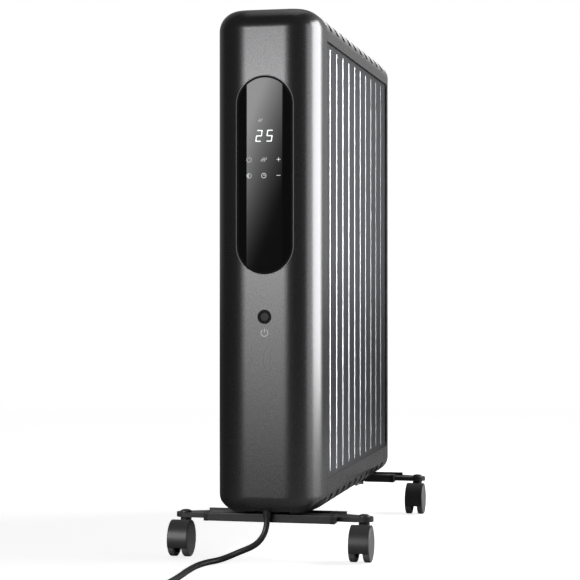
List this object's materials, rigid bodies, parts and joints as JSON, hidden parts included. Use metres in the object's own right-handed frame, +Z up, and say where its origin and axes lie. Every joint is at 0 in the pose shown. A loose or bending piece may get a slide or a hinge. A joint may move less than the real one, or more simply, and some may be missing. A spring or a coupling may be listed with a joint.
{
  "type": "oil filled radiator heater",
  "caption": "Slim upright oil filled radiator heater with a rounded graphite front panel, dark display window, finned side faces and swivelling twin-wheel casters.",
  "frame": {"origin": "on the floor under the middle of the heater without its cord", "axes": "+Z up, front panel faces -Y, +X to the right seen from the front"},
  "size_m": [0.2404, 0.8865, 0.641],
  "materials": {
    "graphite_metallic": "satin",
    "cover_graphite": "satin",
    "rear_black": "matte",
    "section_paint": "satin",
    "black_moulding": "matte",
    "bright_bezel": "polished",
    "black_glass": "gloss",
    "circuit_board": "satin",
    "button_grey": "satin",
    "zinc_steel": "satin",
    "tilt_white": "matte",
    "gasket": "matte",
    "brass": "satin",
    "foot_black": "satin",
    "cap_black": "matte",
    "stem_steel": "satin",
    "hood_black": "matte",
    "wheel_grey": "satin",
    "cord_rubber": "matte"
  },
  "bodies": {
    "heater": {"front_panel": "graphite_metallic", "control_housing": "black_moulding", "window_bezel": "bright_bezel", "display_window": "black_glass", "display_board": "circuit_board", "button_ring": "black_moulding", "power_switch": "black_moulding", "power_board": "circuit_board", "thermal_cutout": "zinc_steel", "tilt_switch": "tilt_white", "room_sensor": "black_moulding", "heat_shield": "zinc_steel", "housing_screws": "zinc_steel", "heating_element": "zinc_steel", "element_gasket": "gasket", "filler_plug": "brass", "fin_01": "section_paint", "fin_02": "section_paint", "fin_03": "section_paint", "fin_04": "section_paint", "fin_05": "section_paint", "fin_06": "section_paint", "fin_07": "section_paint", "fin_08": "section_paint", "fin_09": "section_paint", "fin_10": "section_paint", "fin_11": "section_paint", "top_cover": "cover_graphite", "bottom_cover": "cover_graphite", "rear_cover": "rear_black", "front_foot_plate": "foot_black", "rear_foot_plate": "foot_black", "front_foot_bar": "foot_black", "rear_foot_bar": "foot_black", "bar_end_caps": "cap_black", "foot_hangers": "zinc_steel", "wing_nuts": "zinc_steel", "caster_stems": "stem_steel", "cord_gland": "cord_rubber", "cord": "cord_rubber", "cord_coil": "cord_rubber", "plug": "cord_rubber"},
    "button": {"power_button": "button_grey"},
    "swivel_front_left": {"hood_front_left": "hood_black", "axle_front_left": "stem_steel"},
    "roller_front_left_a": {"wheel_front_left_a": "wheel_grey"},
    "roller_front_left_b": {"wheel_front_left_b": "wheel_grey"},
    "swivel_front_right": {"hood_front_right": "hood_black", "axle_front_right": "stem_steel"},
    "roller_front_right_a": {"wheel_front_right_a": "wheel_grey"},
    "roller_front_right_b": {"wheel_front_right_b": "wheel_grey"},
    "swivel_rear_left": {"hood_rear_left": "hood_black", "axle_rear_left": "stem_steel"},
    "roller_rear_left_a": {"wheel_rear_left_a": "wheel_grey"},
    "roller_rear_left_b": {"wheel_rear_left_b": "wheel_grey"},
    "swivel_rear_right": {"hood_rear_right": "hood_black", "axle_rear_right": "stem_steel"},
    "roller_rear_right_a": {"wheel_rear_right_a": "wheel_grey"},
    "roller_rear_right_b": {"wheel_rear_right_b": "wheel_grey"}
  },
  "joints": [
    {"name": "power_press", "type": "slide", "parent": "heater", "child": "button", "axis": [0, 1, 0], "range_m": [0, 0.003], "stiffness_N_per_m": 400, "springref_m": -0.0015},
    {"name": "swivel_front_left", "type": "hinge", "parent": "heater", "child": "swivel_front_left", "pos_m": [-0.1078, -0.209, 0.0446], "axis": [0, 0, 1], "continuous": true},
    {"name": "roller_front_left_a", "type": "hinge", "parent": "swivel_front_left", "child": "roller_front_left_a", "pos_m": [-0.11615, -0.229, 0.0205], "axis": [1, 0, 0], "continuous": true},
    {"name": "roller_front_left_b", "type": "hinge", "parent": "swivel_front_left", "child": "roller_front_left_b", "pos_m": [-0.09945, -0.229, 0.0205], "axis": [1, 0, 0], "continuous": true},
    {"name": "swivel_front_right", "type": "hinge", "parent": "heater", "child": "swivel_front_right", "pos_m": [0.1078, -0.209, 0.0446], "axis": [0, 0, 1], "continuous": true},
    {"name": "roller_front_right_a", "type": "hinge", "parent": "swivel_front_right", "child": "roller_front_right_a", "pos_m": [0.09945, -0.229, 0.0205], "axis": [1, 0, 0], "continuous": true},
    {"name": "roller_front_right_b", "type": "hinge", "parent": "swivel_front_right", "child": "roller_front_right_b", "pos_m": [0.11615, -0.229, 0.0205], "axis": [1, 0, 0], "continuous": true},
    {"name": "swivel_rear_left", "type": "hinge", "parent": "heater", "child": "swivel_rear_left", "pos_m": [-0.1078, 0.229, 0.0446], "axis": [0, 0, 1], "continuous": true},
    {"name": "roller_rear_left_a", "type": "hinge", "parent": "swivel_rear_left", "child": "roller_rear_left_a", "pos_m": [-0.11615, 0.209, 0.0205], "axis": [1, 0, 0], "continuous": true},
    {"name": "roller_rear_left_b", "type": "hinge", "parent": "swivel_rear_left", "child": "roller_rear_left_b", "pos_m": [-0.09945, 0.209, 0.0205], "axis": [1, 0, 0], "continuous": true},
    {"name": "swivel_rear_right", "type": "hinge", "parent": "heater", "child": "swivel_rear_right", "pos_m": [0.1078, 0.229, 0.0446], "axis": [0, 0, 1], "continuous": true},
    {"name": "roller_rear_right_a", "type": "hinge", "parent": "swivel_rear_right", "child": "roller_rear_right_a", "pos_m": [0.09945, 0.209, 0.0205], "axis": [1, 0, 0], "continuous": true},
    {"name": "roller_rear_right_b", "type": "hinge", "parent": "swivel_rear_right", "child": "roller_rear_right_b", "pos_m": [0.11615, 0.209, 0.0205], "axis": [1, 0, 0], "continuous": true}
  ]
}
